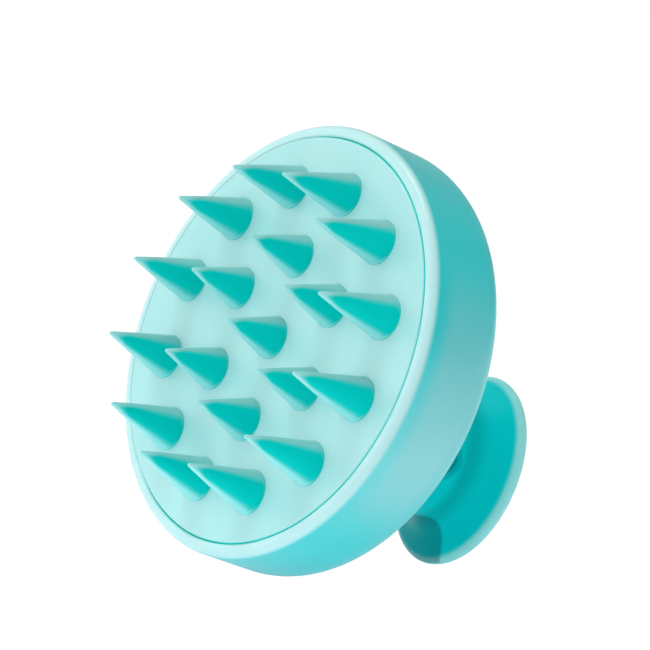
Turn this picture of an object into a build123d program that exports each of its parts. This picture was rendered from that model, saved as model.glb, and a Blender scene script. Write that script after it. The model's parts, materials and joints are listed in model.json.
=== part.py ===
from build123d import *
import math
import os

os.makedirs("parts", exist_ok=True)

# Hand-held scalp massager brush.
# Frame: +Z runs up the brush axis, from the bristle tips to the palm face of
# the handle. The origin is on that axis, in the plane of the outer bristle
# tips, so the brush stands on Z = 0 as it does on a head or a table.
# The handle is set off the axis towards +X. All sizes in mm.

# ---------------- head shell ----------------
HEAD_R = 40.0            # outside radius of the round head
Z_FACE = 14.6            # height of the pad face above the bristle tips
RIM_EDGE_R = 1.6         # rounding of the rim's outer front edge
BORE_R = 37.6            # bore that the pad and carrier sit in
BACK_ROUND_R = 7.4       # big rounding from side wall to back
Z_BACK_ROUND = 27.0      # height where that rounding starts
BACK_TURN = 82.0         # degrees of that rounding before the shallow dome takes over
Z_SEAT_TOP = 35.7        # flat bottom of the shallow oval seat the handle stands in
WALL = 2.4
LEDGE_R = 35.9           # ledge that stops the carrier
Z_LEDGE = 22.7

# ---------------- pad and carrier ----------------
PAD_R = 37.4
PAD_T = 5.0
PEG_R, PEG_L, PEG_RING_R = 2.0, 2.4, 22.0
CARRIER_GAP = 0.05
CARRIER_T = 3.0
CARRIER_SCREW_RING_R = 28.0

# ---------------- bristles ----------------
BASE_R_OUTER, BASE_R_INNER = 3.6, 3.5
SOCKET_GAP = 0.05
TIP_R = 0.38
OUTER_ROOT_RING, OUTER_TIP_RING = 28.4, 27.4
INNER_RING = 15.2
INNER_H, CENTRE_H = 11.5, 10.8   # heights above the pad face

# ---------------- handle ----------------
FOOT_X, FOOT_A, FOOT_B = 4.0, 15.9, 13.3   # oval foot
GRIP_X = 9.8             # centre of the oval palm grip
GRIP_A, GRIP_B = 18.48, 15.4     # half length (X) and half width (Y)
GRIP_TILT = 3.4          # the grip's lip dips towards +X, degrees
Z_GRIP = 66.9            # height of the widest line of the lip
Z_TOP = 70.0             # flat palm face
CORD_R, CORD_X, CORD_Z = 2.5, 9.3, 55.0
SCREW_MID, SCREW_HALF = 6.5, 5.2   # handle screws, either side of the spigot
SPIGOT_R = 2.4

# ---------------- screws ----------------
SHANK_R, PILOT_R, CLEAR_R = 1.3, 1.33, 1.6
SCREW_HEAD_R, SCREW_HEAD_H = 2.6, 1.5


def tilted(z, deg, x=GRIP_X):
    """A plane across the handle at height z, dipping towards +X by deg."""
    t = math.radians(deg)
    return Plane(origin=(x, 0, z), x_dir=(math.cos(t), 0, -math.sin(t)), z_dir=(math.sin(t), 0, math.cos(t)))


# =====================================================================
# head shell: cup with a rounded rim, a straight side and a domed back
# =====================================================================
turn = math.radians(BACK_TURN)
DOME_X = HEAD_R - BACK_ROUND_R + BACK_ROUND_R * math.cos(turn)
DOME_Z = Z_BACK_ROUND + BACK_ROUND_R * math.sin(turn)
DOME_R = DOME_X / math.cos(turn)
DOME_TOP = DOME_Z + DOME_R * (1 - math.sin(turn))
with BuildPart() as head_shell:
    with BuildSketch(Plane.XZ) as cup:
        with BuildLine():
            l1 = Line((BORE_R, Z_FACE + 0.25), (BORE_R + 0.25, Z_FACE))
            l2 = Line(l1 @ 1, (HEAD_R - RIM_EDGE_R, Z_FACE))
            a1 = RadiusArc(l2 @ 1, (HEAD_R, Z_FACE + RIM_EDGE_R), -RIM_EDGE_R)
            l3 = Line(a1 @ 1, (HEAD_R, Z_BACK_ROUND))
            a2 = RadiusArc(l3 @ 1, (DOME_X, DOME_Z), -BACK_ROUND_R)
            a3 = RadiusArc(a2 @ 1, (0, DOME_TOP), -DOME_R)
            l5 = Line(a3 @ 1, (0, Z_SEAT_TOP - WALL))
            l6 = Line(l5 @ 1, (20, Z_SEAT_TOP - WALL))
            l7 = Line(l6 @ 1, (HEAD_R - BACK_ROUND_R, Z_BACK_ROUND + BACK_ROUND_R - WALL))
            a4 = RadiusArc(l7 @ 1, (LEDGE_R + 1.7, Z_BACK_ROUND), BACK_ROUND_R - WALL)
            l8 = Line(a4 @ 1, (LEDGE_R, Z_BACK_ROUND - 1.7))
            l9 = Line(l8 @ 1, (LEDGE_R, Z_LEDGE))
            l10 = Line(l9 @ 1, (BORE_R, Z_LEDGE))
            l11 = Line(l10 @ 1, l1 @ 0)
        make_face()
    revolve(axis=Axis.Z)
    # bosses for the carrier screws, hanging from the back wall
    with BuildSketch(Plane.XY.offset(Z_LEDGE)):
        with PolarLocations(CARRIER_SCREW_RING_R, 3):
            Circle(3.3)
    extrude(amount=10.0)
    with BuildSketch(Plane.XY.offset(Z_LEDGE)):
        with PolarLocations(CARRIER_SCREW_RING_R, 3):
            Circle(PILOT_R)
    extrude(amount=9.0, mode=Mode.SUBTRACT)
    # back wall: oval seat for the handle, hole for its spigot and two screw holes
    with BuildSketch(Plane.XY.offset(Z_SEAT_TOP)):
        with Locations((FOOT_X, 0)):
            Ellipse(FOOT_A + 0.06, FOOT_B + 0.06)
    extrude(amount=5, mode=Mode.SUBTRACT)
    with BuildSketch(Plane.XY.offset(Z_SEAT_TOP - WALL - 1)):
        with Locations((SCREW_MID, 0)):
            Circle(SPIGOT_R + 0.05)
        with Locations((SCREW_MID - SCREW_HALF, 0), (SCREW_MID + SCREW_HALF, 0)):
            Circle(CLEAR_R)
    extrude(amount=WALL + 2, mode=Mode.SUBTRACT)
head_shell.part.label = "head_shell"
export_step(head_shell.part, "parts/head_shell.step")

# =====================================================================
# handle grip: oval foot, waisted neck and flared oval lip in one moulding
# height, centre x, half length, half width, dip in degrees
# =====================================================================
OUTSIDE = [
    (Z_SEAT_TOP, FOOT_X, FOOT_A, FOOT_B, 0),
    (36.6, 4.05, 15.4, 12.85, 0),
    (37.9, 4.6, 13.1, 10.65, 0),
    (41.0, 5.9, 10.9, 8.5, 0),
    (46.0, 7.8, 9.7, 7.1, 0),
    (51.0, 9.1, 9.4, 6.7, 0),
    (55.5, 9.7, 9.6, 6.8, 0),
    (59.0, GRIP_X, 10.4, 7.5, 0),
    (62.0, GRIP_X, 12.2, 9.2, 1.0),
    (64.3, GRIP_X, 14.9, 11.9, 2.2),
    (65.5, GRIP_X, 17.2, 14.15, GRIP_TILT),
    (66.1, GRIP_X, 18.1, 15.05, GRIP_TILT),
    (Z_GRIP, GRIP_X, GRIP_A, GRIP_B, GRIP_TILT),
]
LIP = [
    (Z_GRIP, GRIP_A, GRIP_B),
    (67.6, 18.25, 15.17),
    (68.25, 17.6, 14.52),
    (68.7, 16.4, 13.32),
]
FOOT_HOLLOW = [(Z_SEAT_TOP, 4.0, 12.9, 10.3), (38.4, 4.8, 10.2, 7.8), (41.5, 6.1, 8.5, 6.0), (46.0, 7.8, 7.2, 4.7)]
with BuildPart() as handle_grip:
    for z, cx, a, b, dip in OUTSIDE:
        with BuildSketch(tilted(z, dip, cx)):
            Ellipse(a, b)
    loft()
    for z, a, b in LIP:
        with BuildSketch(tilted(z, GRIP_TILT)):
            Ellipse(a, b)
    loft()
    # hollow of the foot, open to the head
    for z, cx, a, b in FOOT_HOLLOW:
        with BuildSketch(tilted(z, 0, cx)):
            Ellipse(a, b)
    loft(mode=Mode.SUBTRACT)
    # bosses for the two handle screws and the locating spigot
    with BuildSketch(Plane.XY.offset(Z_SEAT_TOP)):
        with Locations((SCREW_MID - SCREW_HALF, 0), (SCREW_MID + SCREW_HALF, 0)):
            Circle(2.7)
    extrude(amount=11.0)
    with BuildSketch(Plane.XY.offset(Z_SEAT_TOP - WALL)):
        with Locations((SCREW_MID, 0)):
            Circle(SPIGOT_R)
    extrude(amount=WALL + 11.0)
    with BuildSketch(Plane.XY.offset(Z_SEAT_TOP)):
        with Locations((SCREW_MID - SCREW_HALF, 0), (SCREW_MID + SCREW_HALF, 0)):
            Circle(PILOT_R)
    extrude(amount=8.5, mode=Mode.SUBTRACT)
    # seat for the palm cap and the hollow under it
    with BuildSketch(tilted(66.4, GRIP_TILT)):
        Ellipse(15.6, 12.52)
    extrude(amount=6, mode=Mode.SUBTRACT)
    with BuildSketch(tilted(66.4, GRIP_TILT)):
        Ellipse(13.4, 10.3)
    with BuildSketch(tilted(65.2, 2.8)):
        Ellipse(11.8, 8.8)
    with BuildSketch(tilted(63.0, 1.4)):
        Ellipse(9.2, 6.2)
    loft(mode=Mode.SUBTRACT)
    # cord hole through the neck
    with BuildSketch(Plane.XZ.offset(-20)):
        with Locations((CORD_X, CORD_Z)):
            Circle(CORD_R)
    extrude(amount=40, mode=Mode.SUBTRACT)
    # rounded mouths on both sides of the hole
    for side in (1, -1):
        with BuildSketch(Plane(origin=(CORD_X, 0, CORD_Z), x_dir=(1, 0, 0), z_dir=(0, 0, side))):
            with BuildLine():
                m1 = Line((0, 5.4), (CORD_R, 5.4))
                m2 = RadiusArc(m1 @ 1, (CORD_R + 1.25, 6.85), -1.6)
                m3 = Line(m2 @ 1, (CORD_R + 1.6, 9))
                m4 = Line(m3 @ 1, (0, 9))
                m5 = Line(m4 @ 1, m1 @ 0)
            make_face()
        revolve(axis=Axis((CORD_X, 0, CORD_Z), (0, 1, 0)), mode=Mode.SUBTRACT)
handle_grip.part.label = "handle_grip"
export_step(handle_grip.part, "parts/handle_grip.step")

# =====================================================================
# palm cap: oval plate let into the grip, flat on top
# =====================================================================
with BuildPart() as palm_cap:
    with BuildSketch(tilted(66.45, GRIP_TILT)):
        Ellipse(15.5, 12.42)
    with BuildSketch(tilted(68.6, GRIP_TILT, GRIP_X + 2.2 * math.tan(math.radians(GRIP_TILT)))):
        Ellipse(15.5, 12.42)
    with BuildSketch(tilted(Z_TOP, 0)):
        Ellipse(12.0, 8.9)
    loft(ruled=True)
    # shallow hollow on the inside
    with BuildSketch(tilted(66.45, GRIP_TILT)):
        Ellipse(12.2, 9.1)
    extrude(amount=1.3, mode=Mode.SUBTRACT)
palm_cap.part.label = "palm_cap"
export_step(palm_cap.part, "parts/palm_cap.step")

# =====================================================================
# bristle layout: one in the middle, six inside, twelve outside
# =====================================================================
ROOTS = [(0.0, 0.0, 0.0, CENTRE_H, BASE_R_INNER)]          # x, y, lean in mm at the tip, height, base radius
for k in range(6):
    t = math.radians(60 * k)
    ROOTS.append((INNER_RING * math.cos(t), INNER_RING * math.sin(t), 0.0, INNER_H, BASE_R_INNER))
for k in range(12):
    t = math.radians(15 + 30 * k)
    ROOTS.append((OUTER_ROOT_RING * math.cos(t), OUTER_ROOT_RING * math.sin(t), OUTER_ROOT_RING - OUTER_TIP_RING, Z_FACE, BASE_R_OUTER))

# =====================================================================
# bristle pad: silicone disc with a seat for each bristle root and six
# pegs on its back that hold it in the carrier
# =====================================================================
with BuildPart() as bristle_pad:
    with BuildSketch(Plane.XY.offset(Z_FACE)):
        Circle(PAD_R)
    extrude(amount=PAD_T)
    fillet(bristle_pad.edges().group_by(Axis.Z)[0], radius=0.35)
    with BuildSketch(Plane.XY.offset(Z_FACE + PAD_T)):
        with PolarLocations(PEG_RING_R, 6, start_angle=30):
            Circle(PEG_R)
    extrude(amount=PEG_L)
    for x, y, lean, h, r in ROOTS:
        with Locations((x, y, Z_FACE)):
            Sphere(r + SOCKET_GAP, mode=Mode.SUBTRACT)
bristle_pad.part.label = "bristle_pad"
export_step(bristle_pad.part, "parts/bristle_pad.step")

# =====================================================================
# bristles: round root below the pad face, cone above it, rounded tip
# =====================================================================
for n, (x, y, lean, h, r) in enumerate(ROOTS):
    ring = math.hypot(x, y)
    inward = (-x / ring, -y / ring) if lean else (0.0, 0.0)
    way = Vector(inward[0] * lean, inward[1] * lean, -(h - TIP_R)).normalized()
    side = way.cross(Vector(0, 1, 0)).normalized() if not lean else way.cross(Vector(-inward[1], inward[0], 0)).normalized()
    root = Vector(x, y, Z_FACE)
    length = Vector(lean, 0, h - TIP_R).length       # root centre to the centre of the tip's ball
    profile = Plane(origin=root, x_dir=side, z_dir=side.cross(way))
    slope = math.asin((r - TIP_R) / length)          # cone tangent to the tip's ball
    with BuildPart() as bristle:
        with BuildSketch(profile):
            with BuildLine():
                b1 = RadiusArc((0, -r), (r, 0), -r)
                b2 = Line(b1 @ 1, (TIP_R * math.cos(slope), length + TIP_R * math.sin(slope)))
                b3 = RadiusArc(b2 @ 1, (0, length + TIP_R), -TIP_R)
                b4 = Line(b3 @ 1, b1 @ 0)
            make_face()
        revolve(axis=Axis(root, way))
    name = "bristle_%02d" % (n + 1)
    bristle.part.label = name
    export_step(bristle.part, "parts/" + name + ".step")

# =====================================================================
# pad carrier: stiff disc behind the pad
# =====================================================================
Z_CARRIER = Z_FACE + PAD_T + CARRIER_GAP
with BuildPart() as pad_carrier:
    with BuildSketch(Plane.XY.offset(Z_CARRIER)):
        Circle(PAD_R)
        with PolarLocations(PEG_RING_R, 6, start_angle=30):
            Circle(PEG_R + 0.05, mode=Mode.SUBTRACT)
        with PolarLocations(CARRIER_SCREW_RING_R, 3):
            Circle(CLEAR_R, mode=Mode.SUBTRACT)
    extrude(amount=CARRIER_T)
    with BuildSketch(Plane.XY.offset(Z_CARRIER)):
        with PolarLocations(CARRIER_SCREW_RING_R, 3):
            Circle(SCREW_HEAD_R + 0.3)
    extrude(amount=SCREW_HEAD_H + 0.1, mode=Mode.SUBTRACT)
    # stiffening rings on the back
    with BuildSketch(Plane.XY.offset(Z_CARRIER + CARRIER_T)):
        Circle(35.0)
        Circle(33.4, mode=Mode.SUBTRACT)
        Circle(17.0)
        Circle(15.4, mode=Mode.SUBTRACT)
    extrude(amount=2.0)
pad_carrier.part.label = "pad_carrier"
export_step(pad_carrier.part, "parts/pad_carrier.step")

# =====================================================================
# screws: pan heads with a cross recess, plain shanks
# =====================================================================
Z_SEAT = Z_CARRIER + SCREW_HEAD_H + 0.1              # where the carrier screws' heads bear
with BuildPart() as carrier_screws:
    with BuildSketch(Plane.XY.offset(Z_SEAT - 0.02)):
        with PolarLocations(CARRIER_SCREW_RING_R, 3):
            Circle(SCREW_HEAD_R)
    extrude(amount=-SCREW_HEAD_H)
    fillet(carrier_screws.edges().group_by(Axis.Z)[0], radius=0.6)
    with BuildSketch(Plane.XY.offset(Z_SEAT - 0.02)):
        with PolarLocations(CARRIER_SCREW_RING_R, 3):
            Circle(SHANK_R)
    extrude(amount=9.0)
    chamfer(carrier_screws.edges().group_by(Axis.Z)[-1], length=0.7)
    with BuildSketch(Plane.XY.offset(Z_SEAT - SCREW_HEAD_H - 0.02)):
        with PolarLocations(CARRIER_SCREW_RING_R, 3):
            Rectangle(2.6, 0.6)
            Rectangle(0.6, 2.6)
    extrude(amount=0.8, mode=Mode.SUBTRACT)
carrier_screws.part.label = "carrier_screws"
export_step(carrier_screws.part, "parts/carrier_screws.step")

Z_WALL_IN = Z_SEAT_TOP - WALL                         # inside of the back wall
with BuildPart() as handle_screws:
    with BuildSketch(Plane.XY.offset(Z_WALL_IN - 0.02)):
        with Locations((SCREW_MID - SCREW_HALF, 0), (SCREW_MID + SCREW_HALF, 0)):
            Circle(SCREW_HEAD_R)
    extrude(amount=-SCREW_HEAD_H)
    fillet(handle_screws.edges().group_by(Axis.Z)[0], radius=0.6)
    with BuildSketch(Plane.XY.offset(Z_WALL_IN - 0.02)):
        with Locations((SCREW_MID - SCREW_HALF, 0), (SCREW_MID + SCREW_HALF, 0)):
            Circle(SHANK_R)
    extrude(amount=10.0)
    chamfer(handle_screws.edges().group_by(Axis.Z)[-1], length=0.7)
    with BuildSketch(Plane.XY.offset(Z_WALL_IN - SCREW_HEAD_H - 0.02)):
        with Locations((SCREW_MID - SCREW_HALF, 0), (SCREW_MID + SCREW_HALF, 0)):
            Rectangle(2.6, 0.6)
            Rectangle(0.6, 2.6)
    extrude(amount=0.8, mode=Mode.SUBTRACT)
handle_screws.part.label = "handle_screws"
export_step(handle_screws.part, "parts/handle_screws.step")
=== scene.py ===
import bpy
import json
import math
import numpy as np
from mathutils import Matrix, Vector


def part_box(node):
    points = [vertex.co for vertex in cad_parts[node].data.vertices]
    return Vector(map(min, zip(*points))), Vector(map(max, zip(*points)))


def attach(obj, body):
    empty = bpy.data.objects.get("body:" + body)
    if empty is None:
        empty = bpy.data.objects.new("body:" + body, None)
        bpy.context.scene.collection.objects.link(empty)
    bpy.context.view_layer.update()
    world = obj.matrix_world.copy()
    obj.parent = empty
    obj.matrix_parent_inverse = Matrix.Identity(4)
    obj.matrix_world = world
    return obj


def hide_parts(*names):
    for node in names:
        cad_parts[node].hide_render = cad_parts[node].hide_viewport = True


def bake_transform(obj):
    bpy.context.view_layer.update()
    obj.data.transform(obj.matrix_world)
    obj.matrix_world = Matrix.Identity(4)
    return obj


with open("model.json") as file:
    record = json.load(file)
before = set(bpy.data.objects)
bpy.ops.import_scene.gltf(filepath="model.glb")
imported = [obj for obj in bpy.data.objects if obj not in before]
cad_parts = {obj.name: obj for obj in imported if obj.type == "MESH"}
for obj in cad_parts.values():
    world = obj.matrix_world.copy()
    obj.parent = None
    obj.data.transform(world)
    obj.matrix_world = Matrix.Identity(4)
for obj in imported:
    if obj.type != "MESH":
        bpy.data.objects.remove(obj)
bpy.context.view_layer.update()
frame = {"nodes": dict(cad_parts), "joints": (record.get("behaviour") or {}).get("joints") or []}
MM = 0.001
Z_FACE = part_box("bristle_pad")[0].z
scene = bpy.context.scene
scene.view_settings.view_transform = "Standard"
scene.view_settings.look = "None"
scene.view_settings.exposure = 0.0
scene.view_settings.gamma = 1.0

# ---------------------------------------------------------------- camera
# the viewing direction of the product picture, low and close to the resting plane
RIGHT = Vector((-0.30527, -0.62759, 0.71619))
DOWN = Vector((0.94757, -0.12563, 0.29381))
FORWARD = Vector((-0.09441, 0.76834, 0.63304))
camera_data = bpy.data.cameras.new("camera")
camera_data.sensor_width = 36.0
camera_data.lens = 193.85
camera_data.clip_start, camera_data.clip_end = 0.02, 60.0
camera = bpy.data.objects.new("camera", camera_data)
scene.collection.objects.link(camera)
m = Matrix((
    (RIGHT.x, -DOWN.x, -FORWARD.x, 0.05334),
    (RIGHT.y, -DOWN.y, -FORWARD.y, -0.48036),
    (RIGHT.z, -DOWN.z, -FORWARD.z, -0.37047),
    (0, 0, 0, 1)))
camera.matrix_world = m
scene.camera = camera


def cam_dir(x, y, z):
    """A direction given as camera right, camera up and away from the camera, in the row frame."""
    return (RIGHT * x - DOWN * y + FORWARD * z).normalized()


# ---------------------------------------------------------------- node helpers
class Nodes:
    def __init__(self, tree):
        self.t = tree
        tree.nodes.clear()

    def add(self, kind, **inputs):
        n = self.t.nodes.new(kind)
        for key, value in inputs.items():
            if key.startswith("_"):
                setattr(n, key[1:], value)
        for key, value in inputs.items():
            if not key.startswith("_"):
                self.put(n, key, value)
        return n

    def put(self, n, key, value):
        socket = n.inputs[int(key[1:])] if key[0] == "i" and key[1:].isdigit() else n.inputs[key.replace("__", " ")]
        if isinstance(value, bpy.types.NodeSocket):
            self.t.links.new(value, socket)
        elif isinstance(value, bpy.types.Node):
            self.t.links.new(value.outputs[0], socket)
        else:
            socket.default_value = value

    def math(self, op, a, b=0.0, c=0.0, clamp=False):
        n = self.add("ShaderNodeMath", _operation=op, _use_clamp=clamp, i0=a, i1=b)
        if op in ("MULTIPLY_ADD",):
            self.put(n, "i2", c)
        return n.outputs[0]

    def remap(self, value, a, b, c=0.0, d=1.0, kind="SMOOTHSTEP"):
        n = self.add("ShaderNodeMapRange", _interpolation_type=kind)
        for i, v in enumerate((value, a, b, c, d)):
            self.put(n, "i%d" % i, v)
        return n.outputs[0]

    def noise(self, where, scale, detail=2.0, rough=0.5):
        n = self.add("ShaderNodeTexNoise", Vector=where, Scale=scale, Detail=detail, Roughness=rough)
        return n.outputs["Fac"]

    def mix(self, fac, a, b, mode="MIX"):
        n = self.t.nodes.new("ShaderNodeMix")
        n.data_type = "RGBA"
        n.blend_type = mode
        for i, v in ((0, fac), (6, a), (7, b)):
            if isinstance(v, bpy.types.NodeSocket):
                self.t.links.new(v, n.inputs[i])
            else:
                n.inputs[i].default_value = v
        return n.outputs[2]


def rgb(r, g, b):
    return (r, g, b, 1.0)


def moulded(name, base, rough, spec=0.5, ior=1.46, sss=0.0, radius=(0.2, 1.0, 1.0), sss_scale=1.0,
            grain=0.0, grain_scale=9000.0, wave=0.0, dust=0.0, sheen=0.0, seed=0.0, edge=0.0, painted_edge_light=None, foot=None,
            tint=(1.0, 1.0, 1.0), lip=None, painted_light=None, mirror=None):
    """Moulded plastic or silicone: cloudy colour, uneven gloss, fine grain, handling marks and settled dust, plus
    optional painted light: painted edge light, a painted pale rim and a painted light-and-shade function.
    """
    mat = bpy.data.materials.new(name)
    mat.use_nodes = True
    k = Nodes(mat.node_tree)
    place = k.add("ShaderNodeTexCoord").outputs["Object"]
    shift = k.add("ShaderNodeVectorMath", _operation="ADD", i0=place, i1=(seed, seed * 0.7, seed * 1.3)).outputs[0]
    cloud = k.noise(shift, 38.0, 3.0, 0.55)
    fine = k.noise(shift, 900.0, 2.0, 0.6)
    speck = k.noise(shift, 5200.0, 1.0, 0.5)
    r, g, b = base
    colour = k.mix(k.remap(cloud, 0.3, 0.7), rgb(r * 0.96, g * 0.98, b * 0.985), rgb(r * 1.04, min(g * 1.025, 1), min(b * 1.015, 1)))
    colour = k.mix(k.remap(fine, 0.35, 0.75, 0.0, 0.02), colour, rgb(min(r + 0.06, 1), min(g * 1.06, 1), min(b * 1.06, 1)))
    if painted_edge_light:
        # painted edge light: a bristle is painted paler toward its edges as seen and toward its tip, paler on its
        # downward-facing side and duller on its upward-facing side
        start, end, dim_edge_light, bright_edge_light = painted_edge_light
        geo = k.add("ShaderNodeNewGeometry")
        facing = k.add("ShaderNodeVectorMath", _operation="DOT_PRODUCT", i0=geo.outputs["Normal"], i1=geo.outputs["Incoming"]).outputs["Value"]
        edge_glow = k.math("SUBTRACT", 1.0, k.math("ABSOLUTE", facing))
        reach = k.add("ShaderNodeAttribute", _attribute_name="reach").outputs["Fac"]
        edge_glow = k.math("ADD", edge_glow, k.remap(reach, 0.68, 1.04, 0.0, 0.45))
        top = k.add("ShaderNodeVectorMath", _operation="DOT_PRODUCT", i0=geo.outputs["Normal"], i1=tuple(-DOWN)).outputs["Value"]
        # painted light: the downward-facing side is painted paler, the upward-facing side duller
        side = k.mix(k.remap(top, -0.15, 0.45), rgb(*bright_edge_light), rgb(*dim_edge_light))
        # painted light: the tip is painted paler still
        side = k.mix(k.remap(reach, 0.70, 1.0, 0.0, 0.75), side, rgb(0.36, 0.76, 0.76))
        edge_glow = k.math("ADD", edge_glow, k.remap(top, -0.1, 0.55, 0.0, 0.02))
        colour = k.mix(k.remap(edge_glow, start, end), colour, side)
    if foot:
        # the foot of a bristle takes the pad's painted paler colour where it flows out of the face
        z = k.add("ShaderNodeSeparateXYZ", Vector=place).outputs["Z"]
        colour = k.mix(k.remap(z, foot[0], foot[1]), colour, rgb(*foot[2]))
    colour = k.mix(k.math("MULTIPLY", k.remap(speck, 0.74, 0.8), dust), colour, rgb(0.55, 0.8, 0.8))
    if lip:
        # painted highlight: the front edge of the moulding is painted paler for the light it catches, and its specular
        # level changes there
        z = k.add("ShaderNodeSeparateXYZ", Vector=place).outputs["Z"]
        edge_share = k.remap(z, lip[0], lip[1], 1.0, 0.0)
        colour = k.mix(edge_share, colour, rgb(*lip[2]))
        spec = k.math("MULTIPLY_ADD", edge_share, lip[3] - spec, spec)
    # painted light: the passed function paints shade, shadow, highlight or glow into the colour
    if painted_light:
        colour = painted_light(k, place, colour)
    if mirror:
        spec = mirror(k, spec)
    # gloss changes where hands rub it, in large soft patches crossed by fine rubs
    streak_at = k.add("ShaderNodeMapping", Vector=shift, Rotation=(0.4, 0.9, 0.3), Scale=(300.0, 2200.0, 300.0)).outputs[0]
    streak = k.noise(streak_at, 1.0, 2.0, 0.6)
    uneven = k.math("MULTIPLY_ADD", k.remap(cloud, 0.25, 0.75), 0.05, rough - 0.025)
    uneven = k.math("MULTIPLY_ADD", k.remap(streak, 0.62, 0.8), 0.012, uneven)
    uneven = k.math("MULTIPLY_ADD", fine, 0.02, uneven)
    height = k.math("MULTIPLY", k.noise(shift, grain_scale, 2.0, 0.65), grain)
    height = k.math("MULTIPLY_ADD", k.noise(shift, 160.0, 1.0, 0.4), wave, height)
    bump = k.add("ShaderNodeBump", Strength=1.0, Distance=0.001, Height=height)
    normal = bump.outputs[0]
    if edge:
        rounded = k.add("ShaderNodeBevel", _samples=4, Radius=edge)
        k.put(bump, "Normal", rounded.outputs[0])
    shader = k.add("ShaderNodeBsdfPrincipled")
    for key, value in (("Base Color", colour), ("Roughness", uneven), ("IOR", ior), ("Specular IOR Level", spec),
                       ("Specular Tint", rgb(*tint)), ("Normal", normal), ("Subsurface Weight", sss), ("Subsurface Radius", radius),
                       ("Subsurface Scale", sss_scale * MM), ("Sheen Weight", sheen), ("Sheen Roughness", 0.35)):
        k.put(shader, key, value)
    out = k.add("ShaderNodeOutputMaterial")
    k.t.links.new(shader.outputs[0], out.inputs["Surface"])
    return mat


def paint_grip_light_and_shade(k, place, colour):
    """Painted light on the grip: its lip is painted paler as a painted highlight, painted shade darkens the crease
    under it and the cord hole's mouth, and a painted shadow darkens the flare's underside behind the neck.
    """
    xyz = k.add("ShaderNodeSeparateXYZ", Vector=place).outputs
    x, y, z = xyz["X"], xyz["Y"], xyz["Z"]
    h = k.math("ADD", k.math("MULTIPLY_ADD", x, 0.0594, -67.482 * MM), z)
    # painted highlight along the lip band
    colour = k.mix(k.remap(h, -1.5 * MM, -0.95 * MM), colour, rgb(0.27, 0.72, 0.71))
    # painted shade in the crease under the lip
    crease = k.math("MULTIPLY", k.remap(h, -7.8 * MM, -6.0 * MM), k.remap(h, -5.7 * MM, -3.4 * MM, 1.0, 0.0))
    colour = k.mix(k.math("MULTIPLY", crease, 0.22), colour, rgb(0.0, 0.0, 0.0))
    # painted shade round the cord hole's mouth
    off = k.add("ShaderNodeCombineXYZ", X=k.math("ADD", x, -9.3 * MM), Z=k.math("ADD", z, -55.0 * MM)).outputs[0]
    off = k.add("ShaderNodeVectorMath", _operation="LENGTH", i0=off).outputs["Value"]
    colour = k.mix(k.math("MULTIPLY", k.remap(off, 4.5 * MM, 5.0 * MM, 1.0, 0.0), 0.24), colour, rgb(0.0, 0.02, 0.03))
    # painted shadow on the flare's underside behind the neck
    oval = k.add("ShaderNodeCombineXYZ", X=k.math("MULTIPLY_ADD", k.math("MINIMUM", y, 0.6 * MM), 1.0 / (5.3 * MM), -0.6 / 5.3),
                 Y=k.math("MULTIPLY_ADD", z, 1.0 / (4.2 * MM), -63.6 / 4.2)).outputs[0]
    oval = k.add("ShaderNodeVectorMath", _operation="LENGTH", i0=oval).outputs["Value"]
    neck_shadow = k.math("MULTIPLY", k.remap(oval, 0.90, 1.06, 1.0, 0.0), k.remap(y, 7.0 * MM, 12.0 * MM, 1.0, 0.0))
    neck_shadow = k.math("MULTIPLY", neck_shadow, k.remap(x, 18.0 * MM, 20.5 * MM))
    neck_shadow = k.math("MULTIPLY", neck_shadow, k.remap(h, -0.5 * MM, 0.15 * MM, 1.0, 0.0))
    under = k.add("ShaderNodeSeparateXYZ", Vector=k.add("ShaderNodeTexCoord").outputs["Normal"]).outputs["Z"]
    neck_shadow = k.math("MULTIPLY", neck_shadow, k.remap(under, -0.50, -0.32, 1.0, 0.0))
    return k.mix(k.math("MULTIPLY", neck_shadow, 0.48), colour, rgb(0.0, 0.02, 0.03))


def paint_seam_glow(k, place, colour):
    """The seam between pad and cup is painted a bright saturated teal, a painted glow standing in for light in the
    groove, fading out where it closes up on the +Y side.
    """
    xyz = k.add("ShaderNodeSeparateXYZ", Vector=place).outputs
    flat = k.add("ShaderNodeCombineXYZ", X=xyz["X"], Y=xyz["Y"]).outputs[0]
    ring = k.add("ShaderNodeVectorMath", _operation="LENGTH", i0=flat).outputs["Value"]
    deep = k.math("MULTIPLY", k.remap(xyz["Z"], Z_FACE + 0.10 * MM, Z_FACE + 0.30 * MM), k.remap(xyz["Z"], Z_FACE + 0.9 * MM, Z_FACE + 1.4 * MM, 1.0, 0.0))
    deep = k.math("MULTIPLY", deep, k.math("GREATER_THAN", ring, 36.0 * MM))
    deep = k.math("MULTIPLY", deep, k.remap(ring, SEAM_R + 0.15 * MM, SEAM_R + 0.45 * MM, 1.0, 0.0))
    side = k.math("MULTIPLY_ADD", xyz["Y"], 0.966 / (37.0 * MM), k.math("MULTIPLY", xyz["X"], -0.259 / (37.0 * MM)))
    deep = k.math("MULTIPLY", deep, k.remap(side, 0.10, 0.60, 1.0, 0.0))
    # painted glow: the seam is painted a bright saturated teal
    return k.mix(deep, colour, rgb(0.0, 0.80, 0.74))


def faces_way(k, x, y, z):
    """How far the surface faces a direction, -1 to 1."""
    normal = k.add("ShaderNodeTexCoord").outputs["Normal"]
    return k.add("ShaderNodeVectorMath", _operation="DOT_PRODUCT", i0=normal, i1=(x, y, z)).outputs["Value"]


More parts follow.
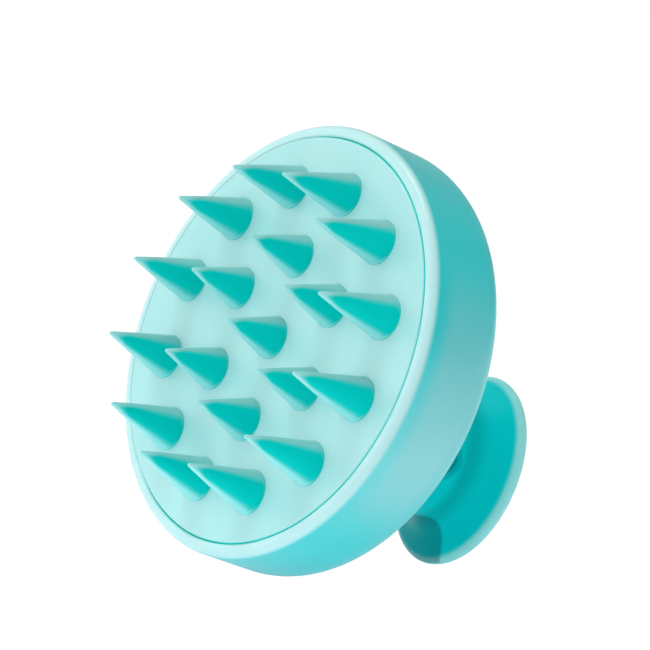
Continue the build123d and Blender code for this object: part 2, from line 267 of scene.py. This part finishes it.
def paint_cup_light_and_shade(k, place, colour):
    """Painted light on the cup's wall: a paler painted sheen round its -Y side and painted shade, a deeper teal, toward
    +X; its seam gets the same painted glow as on the pad.
    """
    z = k.add("ShaderNodeSeparateXYZ", Vector=place).outputs["Z"]
    wall = k.remap(z, Z_RIM + 2.0 * MM, Z_RIM + 6.0 * MM)
    # painted sheen: the -Y-facing wall is painted paler
    painted_sheen = k.math("MULTIPLY", k.remap(faces_way(k, 0.13, -0.99, 0.0), 0.74, 1.0), wall)
    colour = k.mix(k.math("MULTIPLY", painted_sheen, 0.17), colour, rgb(0.60, 0.52, 0.56))
    # painted shade: the +X-facing wall is painted a deeper teal
    deep = k.math("MULTIPLY", k.remap(faces_way(k, 0.92, -0.38, 0.0), 0.82, 1.0), wall)
    colour = k.mix(k.math("MULTIPLY", deep, 0.5), colour, rgb(0.0, 0.63, 0.65))
    return paint_seam_glow(k, place, colour)


def cup_mirror(k, spec):
    """The wall mirrors less of the room toward its -X and +X ends and at the big back rounding (a look, not a real finish)."""
    back = k.remap(faces_way(k, -0.64, -0.77, 0.0), 0.45, 0.97, 1.0, 0.3)
    front = k.remap(faces_way(k, 0.92, -0.38, 0.0), 0.82, 1.0, 1.0, 0.4)
    under = k.remap(faces_way(k, 0.0, 0.0, 1.0), 0.02, 0.45, 1.0, 0.35)
    return k.math("MULTIPLY", k.math("MULTIPLY", k.math("MULTIPLY", back, front), under), spec)


SEAM_R = (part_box("bristle_pad")[1].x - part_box("bristle_pad")[0].x) / 2 + 0.2 * MM
# painted light: the pad is painted a paler copy of the bristles' silicone, for the bright light on its face
PAD_PAINTED_PALE = (0.33, 0.72, 0.727)
# the next two colours are painted edge light on the bristles: the paler lit side, then the duller upper side
BRISTLE_LIT_EDGE = (0.27, 0.76, 0.76)
BRISTLE_DIM_EDGE = (0.22, 0.57, 0.555)
Z_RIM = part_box("head_shell")[0].z
shell_plastic = moulded("shell_plastic", (0.010, 0.58, 0.605), 0.30, spec=0.82, ior=1.75, sss=0.12, sss_scale=0.8, grain=0.0002,
                        grain_scale=7000.0, wave=0.0012, dust=0.0, edge=0.00025,
                        # the lip colour below is a painted highlight on the cup's front rim
                        lip=(Z_RIM + 0.6 * MM, Z_RIM + 1.7 * MM, (0.40, 0.76, 0.77), 0.4), painted_light=paint_cup_light_and_shade, mirror=cup_mirror)
grip_plastic = moulded("grip_plastic", (0.0, 0.585, 0.60), 0.25, spec=0.3, ior=1.2, sss=0.12, sss_scale=0.8, grain=0.0002,
                       grain_scale=7000.0, wave=0.0012, dust=0.0, seed=3.1, edge=0.00025, tint=(0.1, 0.9, 0.95), painted_light=paint_grip_light_and_shade)
cap_plastic = moulded("cap_plastic", (0.0, 0.585, 0.60), 0.26, spec=0.35, ior=1.5, sss=0.12, sss_scale=0.8, grain=0.0002,
                      grain_scale=7000.0, wave=0.0012, dust=0.0, seed=7.7, edge=0.0003, tint=(0.3, 0.95, 1.0))
silicone = moulded("silicone", PAD_PAINTED_PALE, 0.38, spec=0.7, ior=1.5, sss=0.3, sss_scale=0.8, grain=0.0006,
                   grain_scale=8000.0, wave=0.0012, dust=0.02, seed=1.7, painted_light=paint_seam_glow)
silicone_bristle = moulded("silicone_bristle", (0.0, 0.575, 0.54), 0.40, spec=0.12, ior=1.45, sss=0.2, sss_scale=0.5,
                           grain=0.0006, grain_scale=8000.0, wave=0.0008, dust=0.0, seed=2.9, tint=(0.1, 0.9, 0.9),
                           painted_edge_light=(0.20, 0.50, BRISTLE_DIM_EDGE, BRISTLE_LIT_EDGE), foot=(Z_FACE - 0.05 * MM, Z_FACE, PAD_PAINTED_PALE))
inner_plastic = moulded("inner_plastic", (0.3, 0.6, 0.6), 0.5, spec=0.5, grain=0.003, grain_scale=5000.0, wave=0.01,
                        dust=0.1, seed=5.3, edge=0.0002)


def steel(name):
    """Plated screw steel: turned rings, tiny scratches and a warm stain in places."""
    mat = bpy.data.materials.new(name)
    mat.use_nodes = True
    k = Nodes(mat.node_tree)
    place = k.add("ShaderNodeTexCoord").outputs["Object"]
    cloud = k.noise(place, 700.0, 3.0, 0.6)
    scratch_at = k.add("ShaderNodeMapping", Vector=place, Rotation=(0.2, 0.1, 0.7), Scale=(900.0, 9000.0, 900.0)).outputs[0]
    scratch = k.noise(scratch_at, 1.0, 2.0, 0.7)
    colour = k.mix(k.remap(cloud, 0.3, 0.75), rgb(0.55, 0.55, 0.54), rgb(0.42, 0.40, 0.37))
    rough = k.math("MULTIPLY_ADD", scratch, 0.25, 0.2)
    bump = k.add("ShaderNodeBump", Strength=1.0, Distance=0.001, Height=k.math("MULTIPLY", scratch, 0.006))
    shader = k.add("ShaderNodeBsdfPrincipled")
    for key, value in (("Base Color", colour), ("Metallic", 1.0), ("Roughness", rough), ("Normal", bump.outputs[0])):
        k.put(shader, key, value)
    out = k.add("ShaderNodeOutputMaterial")
    k.t.links.new(shader.outputs[0], out.inputs["Surface"])
    return mat


screw_steel = steel("screw_steel")


def paint(obj, mat):
    obj.data.materials.clear()
    obj.data.materials.append(mat)
    for p in obj.data.polygons:
        p.material_index = 0


nodes = frame["nodes"]
paint(nodes["head_shell"], shell_plastic)
paint(nodes["handle_grip"], grip_plastic)
paint(nodes["palm_cap"], cap_plastic)
paint(nodes["pad_carrier"], inner_plastic)
paint(nodes["handle_screws"], screw_steel)
paint(nodes["carrier_screws"], screw_steel)


# ---------------------------------------------------------------- meshes
def new_mesh(name, verts, faces, mat):
    mesh = bpy.data.meshes.new(name)
    mesh.from_pydata([tuple(v) for v in verts], [], faces)
    mesh.validate()
    obj = bpy.data.objects.new(name, mesh)
    scene.collection.objects.link(obj)
    mesh.materials.append(mat)
    for p in mesh.polygons:
        p.use_smooth = True
    return obj


def lathe(profile, n, centre, z0, way=-1.0, lean=None, lean_length=1.0):
    """Closed surface turned about a Z-parallel axis. profile is (radius, out) with out measured from z0 along way.
    lean is how far the axis has drifted sideways at out = lean_length, so the foot stays square to the face."""
    verts, faces = [], []
    drift = Vector((0, 0, 0)) if lean is None else Vector(lean)
    rings = []
    for r, h in profile:
        share = max(0.0, h / lean_length)
        c = Vector((centre[0], centre[1], z0 + way * h)) + drift * share
        if r < 1e-9:
            rings.append([len(verts)])
            verts.append(c)
        else:
            rings.append(list(range(len(verts), len(verts) + n)))
            for i in range(n):
                a = 2 * math.pi * i / n
                verts.append(c + Vector((r * math.cos(a), r * math.sin(a), 0)))
    for p, q in zip(rings, rings[1:]):
        for i in range(n):
            j = (i + 1) % n
            if len(p) == 1:
                f = (p[0], q[j], q[i])
            elif len(q) == 1:
                f = (p[i], p[j], q[0])
            else:
                f = (p[i], p[j], q[j], q[i])
            faces.append(f if way > 0 else tuple(reversed(f)))
    return verts, faces


def arc(cx, cy, r, a0, a1, n):
    return [(cx + r * math.cos(math.radians(a0 + (a1 - a0) * i / n)), cy + r * math.sin(math.radians(a0 + (a1 - a0) * i / n)))
            for i in range(n + 1)]


# pad: silicone disc with a soft front edge, and six pegs with beaded ends on its back
pad_lo, pad_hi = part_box("bristle_pad")
PAD_R = (pad_hi.x - pad_lo.x) / 2
Z_FACE = pad_lo.z
PAD_T = 5.0 * MM
EDGE = 0.38 * MM
rings = [0.0, 4.0, 8.0, 12.0, 16.0, 20.0, 24.0, 28.0, 31.0, 33.5, 35.2, 36.2]
profile = [(r * MM, 0.0) for r in rings]
# the face rolls over the edge, out is measured into the pad here
profile += arc(PAD_R - EDGE, EDGE, EDGE, -90, 0, 10)
# a shallow step nearly closes the gap to the cup, so the seam is a fine groove and not a deep slot
profile += [(PAD_R, 0.40 * MM), (PAD_R + 0.05 * MM, 0.46 * MM), (PAD_R + 0.14 * MM, 0.52 * MM), (PAD_R + 0.14 * MM, 2.5 * MM),
            (PAD_R + 0.05 * MM, 3.6 * MM), (PAD_R, 4.0 * MM)]
profile += arc(PAD_R - 0.3 * MM, PAD_T - 0.3 * MM, 0.3 * MM, 0, 90, 6)
profile += [(PAD_R - 1.5 * MM, PAD_T), (30.0 * MM, PAD_T), (15.0 * MM, PAD_T), (0.0, PAD_T)]
verts, faces = lathe(profile, 256, (0, 0), Z_FACE, way=1.0)
for v in verts:
    # on the +Y side the seam closes up to almost nothing
    ring, deep = math.hypot(v.x, v.y), v.z - Z_FACE
    if ring > PAD_R - EDGE - 0.01 * MM and deep < 0.6 * MM:
        t = max(0.0, min(1.0, ((v.y * 0.966 - v.x * 0.259) / ring - 0.10) / 0.5))
        v.z = Z_FACE + deep * (1 - 0.88 * t * t * (3 - 2 * t))
peg_top = pad_hi.z - (Z_FACE + PAD_T)
for k6 in range(6):
    t = math.radians(30 + 60 * k6)
    ring = 22.0 * MM
    peg = [(0.0, -0.4 * MM), (2.0 * MM, -0.4 * MM), (2.0 * MM, 0.3 * MM), (2.0 * MM, peg_top - 0.5 * MM)]
    peg += arc(1.55 * MM, peg_top - 0.45 * MM, 0.45 * MM, 10, 90, 6)
    peg += [(0.8 * MM, peg_top), (0.0, peg_top)]
    pv, pf = lathe(peg, 40, (ring * math.cos(t), ring * math.sin(t)), Z_FACE + PAD_T, way=1.0)
    faces += [tuple(i + len(verts) for i in f) for f in pf]
    verts += pv
pad = new_mesh("pad_skin", verts, faces, silicone)
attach(pad, "pad")
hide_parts("bristle_pad")

# bristles: each is one cone of silicone that flows out of the pad's face, its axis leaning over toward its tip
roots = {j["child"]: Vector(j["pos_m"]) for j in frame["joints"] if j["child"].startswith("bristle")}
FILLET = 0.2 * MM
SEG = 72
for name in sorted(roots):
    root = roots[name]
    cad = np.array([v.co for v in nodes[name].data.vertices], float)
    tip_z = cad[:, 2].min()
    length = Z_FACE - tip_z
    tip_ring = cad[cad[:, 2] < tip_z + 0.02 * MM]
    tip = Vector((float(tip_ring[:, 0].mean()), float(tip_ring[:, 1].mean()), float(tip_z)))
    face_ring = cad[np.abs(cad[:, 2] - Z_FACE) < 0.35 * MM]
    base = float(np.hypot(cad[:, 0] - root.x, cad[:, 1] - root.y)[np.abs(cad[:, 2] - Z_FACE) < 0.6 * MM].max())
    base += 0.45 * MM                 # the cone meets the face a little wider where the silicone flows into the pad
    tip_r = 0.36 * MM
    # cone from the foot circle to a tangent ball at the tip
    run = length - tip_r
    slope = math.asin((base - tip_r) / run)
    cone_top_r, cone_top_h = tip_r * math.cos(slope), run + tip_r * math.sin(slope)

    def cone_r(h):
        return base + (cone_top_r - base) * h / cone_top_h

    # fillet: circle tangent to the face and to the cone
    tan_c = (base - cone_top_r) / cone_top_h
    f = FILLET
    # centre at height f, distance from cone line = f
    centre_r = cone_r(f) + f / math.cos(math.atan(tan_c))
    end_angle = 180.0 - math.degrees(math.atan(tan_c))
    foot = arc(centre_r, f, f, 268.0, end_angle, 14)
    foot = [(r, h - f * (1 - math.cos(math.radians(1.2)))) for r, h in foot]
    profile = [(0.0, -1.1 * MM), (base * 0.7, -1.1 * MM), (centre_r - 0.1 * MM, -0.9 * MM), (centre_r + 0.25 * MM, -0.35 * MM),
               (centre_r + 0.22 * MM, -0.06 * MM)]
    profile += foot
    start_h = foot[-1][1]
    steps = 30
    for i in range(1, steps):
        h = start_h + (cone_top_h - start_h) * i / steps
        # a hair of belly keeps the side from being a ruler-straight cone
        belly = 0.07 * MM * math.sin(math.pi * (h - start_h) / (cone_top_h - start_h))
        profile.append((cone_r(h) + belly, h))
    profile += arc(0.0, run, tip_r, math.degrees(slope), 90, 8)[:-1]
    profile.append((0.0, length))
    drift = Vector((tip.x - root.x, tip.y - root.y, 0))
    verts, faces = lathe(profile, SEG, (root.x, root.y), Z_FACE, way=-1.0, lean=drift, lean_length=length)
    obj = new_mesh("soft_" + name, verts, faces, silicone_bristle)
    reach = obj.data.attributes.new("reach", "FLOAT", "POINT")
    reach.data.foreach_set("value", [max(0.0, min(1.0, (Z_FACE - v.co.z) / length)) for v in obj.data.vertices])
    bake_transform(obj)
    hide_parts(name)

# ---------------------------------------------------------------- floor
# the plane the brush leans on in the picture: it touches the back rounding of the head and the grip's lip
grip_lo, grip_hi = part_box("handle_grip")
head_lo, head_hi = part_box("head_shell")
lip = Vector((grip_hi.x, 0, 0))
grip_co = np.array([v.co for v in nodes["handle_grip"].data.vertices], float)
far = grip_co[grip_co[:, 0].argmax()]
lip = Vector((float(far[0]), 0, float(far[2])))
round_r = 7.4 * MM
round_c = Vector((head_hi.x - round_r, 0, 27.0 * MM))
gap = lip - round_c
alpha = math.atan2(gap.z, gap.x) - math.acos(round_r / gap.length)
down = Vector((math.cos(alpha), 0, math.sin(alpha)))            # from the object to the floor
touch = down.dot(lip) + 0.05 * MM
across = Vector((0, 1, 0))
along = down.cross(across).normalized()
size = 30.0
corners = [down * touch + across * (size * a) + along * (size * b) for a, b in ((-1, -1), (1, -1), (1, 1), (-1, 1))]
floor_mesh = bpy.data.meshes.new("floor")
floor_mesh.from_pydata([tuple(c) for c in corners], [], [(0, 1, 2, 3)])
floor = bpy.data.objects.new("floor", floor_mesh)
scene.collection.objects.link(floor)
mat = bpy.data.materials.new("floor_paper")
mat.use_nodes = True
k = Nodes(mat.node_tree)
grain = k.noise(k.add("ShaderNodeTexCoord").outputs["Object"], 60.0, 3.0, 0.6)
paper = k.mix(grain, rgb(0.93, 0.93, 0.93), rgb(0.97, 0.97, 0.97))
soft = k.add("ShaderNodeBsdfDiffuse", Color=paper)
glow = k.add("ShaderNodeEmission", Color=rgb(1, 1, 1), Strength=1.07)
lit = k.t.nodes.new("ShaderNodeMixShader")
lit.inputs[0].default_value = 0.95
k.t.links.new(soft.outputs[0], lit.inputs[1])
k.t.links.new(glow.outputs[0], lit.inputs[2])
# painted bounce light: for everything but the camera the floor glows, dimmer near the place where the brush rests as a
# painted shadow
PAINTED_BOUNCE = [(0.54, 0.50, 0.53), (0.80, 0.70, 0.74), (0.55, 0.46, 0.50), (0.60, 0.53, 0.54)]
spot = down * touch + along * along.dot(Vector((0.034, 0, 0.045)))
away = k.add("ShaderNodeVectorMath", _operation="DISTANCE", i0=k.add("ShaderNodeTexCoord").outputs["Object"], i1=tuple(spot)).outputs["Value"]
ramp = None
edges = [0.035, 0.075, 0.16]
for i, strength in enumerate(PAINTED_BOUNCE):
    if i == 0:
        share = k.remap(away, edges[0] * 0.75, edges[0] * 1.35, 1.0, 0.0)
    elif i == 3:
        share = k.remap(away, edges[2] * 0.75, edges[2] * 1.35)
    else:
        share = k.math("MULTIPLY", k.remap(away, edges[i - 1] * 0.75, edges[i - 1] * 1.35), k.remap(away, edges[i] * 0.75, edges[i] * 1.35, 1.0, 0.0))
    layer = k.mix(share, rgb(0, 0, 0), rgb(*((strength,) * 3 if isinstance(strength, float) else strength)))
    ramp = layer if ramp is None else k.mix(1.0, ramp, layer, "ADD")
# painted bounce light: the floor glows with these ring strengths for everything but the camera
bounce_glow = k.add("ShaderNodeEmission", Color=ramp, Strength=1.0)
plain = k.add("ShaderNodeBsdfDiffuse", Color=rgb(0.6, 0.6, 0.6))
bounce = k.t.nodes.new("ShaderNodeAddShader")
k.t.links.new(bounce_glow.outputs[0], bounce.inputs[0])
k.t.links.new(plain.outputs[0], bounce.inputs[1])
clear = k.add("ShaderNodeBsdfTransparent")
path = k.add("ShaderNodeLightPath")
# only the main camera sees the floor: from any other side it would cut off or hide the brush leaning on it
incoming = k.add("ShaderNodeNewGeometry").outputs["Incoming"]
straight = k.add("ShaderNodeVectorMath", _operation="DOT_PRODUCT", i0=incoming, i1=tuple(-FORWARD)).outputs["Value"]
from_here = k.math("GREATER_THAN", straight, 0.985)
seen = k.t.nodes.new("ShaderNodeMixShader")
k.t.links.new(from_here, seen.inputs[0])
k.t.links.new(clear.outputs[0], seen.inputs[1])
k.t.links.new(lit.outputs[0], seen.inputs[2])
final = k.t.nodes.new("ShaderNodeMixShader")
k.t.links.new(path.outputs["Is Camera Ray"], final.inputs[0])
k.t.links.new(bounce.outputs[0], final.inputs[1])
k.t.links.new(seen.outputs[0], final.inputs[2])
out = k.add("ShaderNodeOutputMaterial")
k.t.links.new(final.outputs[0], out.inputs["Surface"])
floor_mesh.materials.append(mat)

# ---------------------------------------------------------------- studio light
# white room for the camera; soft panels, as lobes of brightness, for everything else
world = bpy.data.worlds.new("studio")
scene.world = world
world.use_nodes = True
k = Nodes(world.node_tree)
way = k.add("ShaderNodeTexCoord").outputs["Generated"]
LOBES = [
    # direction (camera right, up, away), half angles where it fades in and is full, colour
    ((-0.50, 0.07, 0.86), 50.0, 0.0, (0.32, 0.31, 0.31)),
    ((-0.69, 0.59, 0.41), 50.0, 0.0, (0.52, 0.47, 0.47)),
    ((-0.97, -0.21, 0.14), 50.0, 0.0, (0.32, 0.30, 0.31)),
    ((0.86, -0.51, 0.05), 50.0, 0.0, (0.12, 0.12, 0.12)),
    ((-0.29, 0.96, -0.05), 50.0, 0.0, (0.10, 0.10, 0.10)),
    ((-0.89, 0.33, -0.32), 50.0, 0.0, (0.52, 0.46, 0.46)),
    ((0.23, 0.83, -0.50), 50.0, 0.0, (0.07, 0.04, 0.03)),
    ((0.72, -0.13, -0.68), 50.0, 0.0, (0.02, 0.00, 0.00)),
    ((-0.38, 0.51, -0.77), 50.0, 0.0, (0.05, 0.00, 0.00)),
    ((-0.05, -0.50, -0.86), 50.0, 0.0, (0.10, 0.10, 0.10)),
    ((0.22, 0.20, -0.95), 50.0, 0.0, (0.46, 0.42, 0.43)),
    ((-0.90, 0.36, 0.23), 30.0, 6.0, (0.16, 0.13, 0.13)),
    ((-0.95, 0.10, -0.30), 32.0, 6.0, (0.35, 0.33, 0.33)),
    ((-0.60, 0.30, -0.75), 32.0, 6.0, (0.02, 0.00, 0.00)),
    ((-0.10, 0.20, -1.00), 32.0, 6.0, (0.35, 0.33, 0.34)),
    ((-0.55, 0.75, 0.35), 32.0, 6.0, (0.14, 0.12, 0.12)),
    ((-0.20, 0.97, -0.10), 20.0, 3.0, (4.70, 4.55, 4.55)),
]
total = k.add("ShaderNodeRGB")
total.outputs[0].default_value = rgb(0.47, 0.44, 0.425)
total = total.outputs[0]
for direction, wide, tight, colour in LOBES:
    d = cam_dir(*direction)
    dot = k.add("ShaderNodeVectorMath", _operation="DOT_PRODUCT", i0=way, i1=tuple(d)).outputs["Value"]
    amount = k.remap(dot, math.cos(math.radians(wide)), math.cos(math.radians(tight)))
    lobe = k.mix(amount, rgb(0, 0, 0), rgb(*colour))
    total = k.mix(1.0, total, lobe, "ADD")
room = k.add("ShaderNodeBackground", Color=total, Strength=1.0)
white = k.add("ShaderNodeBackground", Color=rgb(1, 1, 1), Strength=1.0)
path = k.add("ShaderNodeLightPath")
pick = k.t.nodes.new("ShaderNodeMixShader")
k.t.links.new(path.outputs["Is Camera Ray"], pick.inputs[0])
k.t.links.new(room.outputs[0], pick.inputs[1])
k.t.links.new(white.outputs[0], pick.inputs[2])
out = k.add("ShaderNodeOutputWorld")
k.t.links.new(pick.outputs[0], out.inputs["Surface"])
